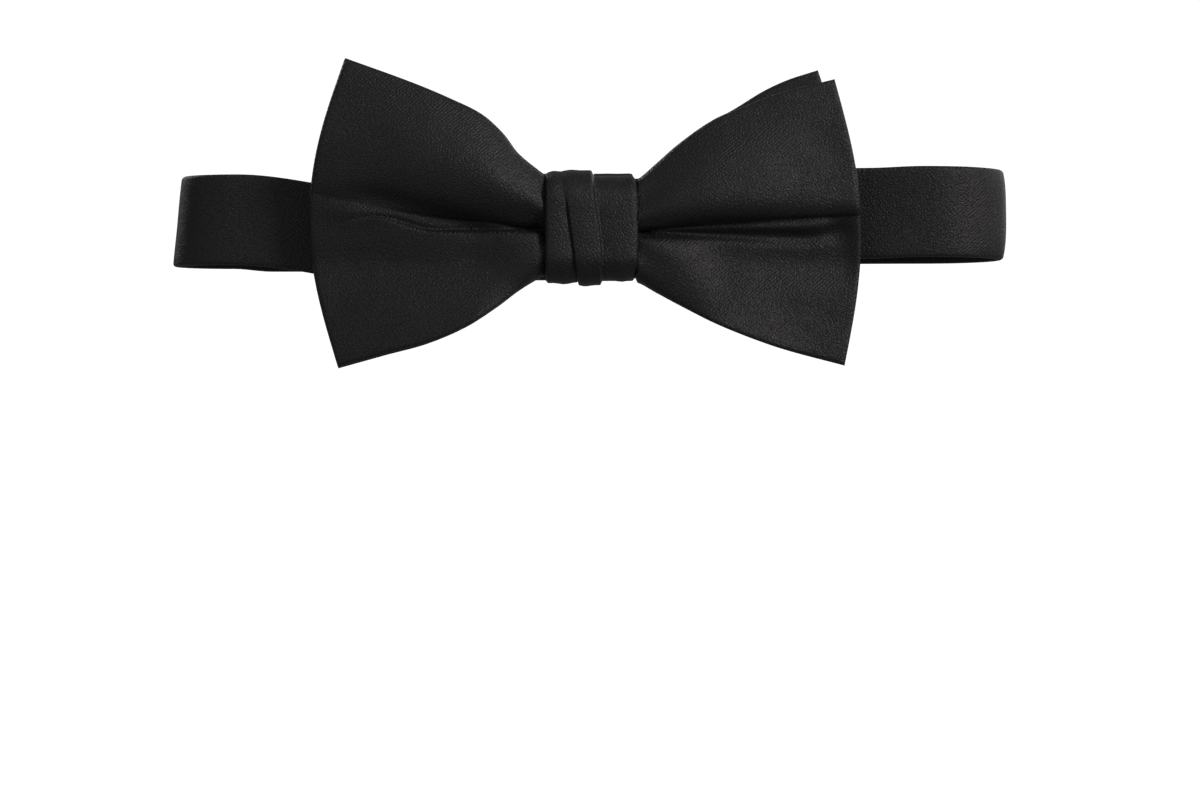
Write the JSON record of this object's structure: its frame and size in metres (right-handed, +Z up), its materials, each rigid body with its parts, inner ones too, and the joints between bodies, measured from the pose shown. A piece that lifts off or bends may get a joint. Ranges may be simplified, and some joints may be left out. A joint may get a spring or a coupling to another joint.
{
  "type": "pre-tied bow tie",
  "caption": "Pre-tied satin bow tie with a pleated knot and an adjustable neckband closed by a hook and eye ring.",
  "frame": {"origin": "middle of the flat rear face of the knot wrap, where the tie bears on the collar", "axes": "+Z up as worn, -Y the way the bow faces, +Y towards the neck, +X along the bow to the viewer's right"},
  "size_m": [0.182, 0.0353, 0.0674],
  "materials": {
    "bow_satin": "satin weave",
    "knot_satin": "satin weave",
    "band_satin": "satin weave",
    "interlining": "matt woven",
    "thread": "spun thread",
    "black_hardware": "gloss enamel"
  },
  "bodies": {
    "tie": {"front_bow_face": "bow_satin", "front_bow_back": "bow_satin", "back_bow_face": "bow_satin", "back_bow_back": "bow_satin", "knot_wrap": "knot_satin", "neckband_front_right": "band_satin", "neckband_front_left": "band_satin", "neckband_right_bend": "band_satin", "neckband_rear_right": "band_satin", "neckband_rear_left": "band_satin", "hook_strap_fold": "band_satin", "strap_return": "band_satin", "front_bow_interlining": "interlining", "back_bow_interlining": "interlining", "knot_interlining": "interlining", "neckband_front_right_interlining": "interlining", "neckband_front_left_interlining": "interlining", "neckband_right_bend_interlining": "interlining", "neckband_rear_right_interlining": "interlining", "neckband_rear_left_interlining": "interlining", "waist_thread": "thread", "knot_seam_stitches": "thread", "hook": "black_hardware"},
    "eye_end": {"eye_ring": "black_hardware", "eye_strap_fold": "band_satin", "eye_bar_tack": "thread"},
    "slider": {"slider": "black_hardware", "slider_strap_fold": "band_satin", "slider_bar_tack": "thread"},
    "left_bend": {"neckband_left_bend": "band_satin", "neckband_left_bend_interlining": "interlining"}
  },
  "joints": [
    {"name": "unhook_slide", "type": "slide", "parent": "tie", "child": "eye_end", "axis": [-0.766, 0.6428, 0], "range_m": [0, 0.012], "deforming": ["neckband_rear_right", "neckband_rear_right_interlining"]},
    {"name": "slider_slide", "type": "slide", "parent": "tie", "child": "slider", "axis": [-1, 0, 0], "range_m": [-0.006, 0.012], "deforming": ["strap_return"]},
    {"name": "left_bend_slide", "type": "slide", "parent": "tie", "child": "left_bend", "axis": [1, 0, 0], "range_m": [-0.003, 0.006], "deforming": ["neckband_front_left", "neckband_front_left_interlining", "neckband_rear_left", "neckband_rear_left_interlining"]}
  ],
  "couplings": [
    {"joint": "left_bend_slide", "follows": "slider_slide", "ratio": 0.5}
  ]
}
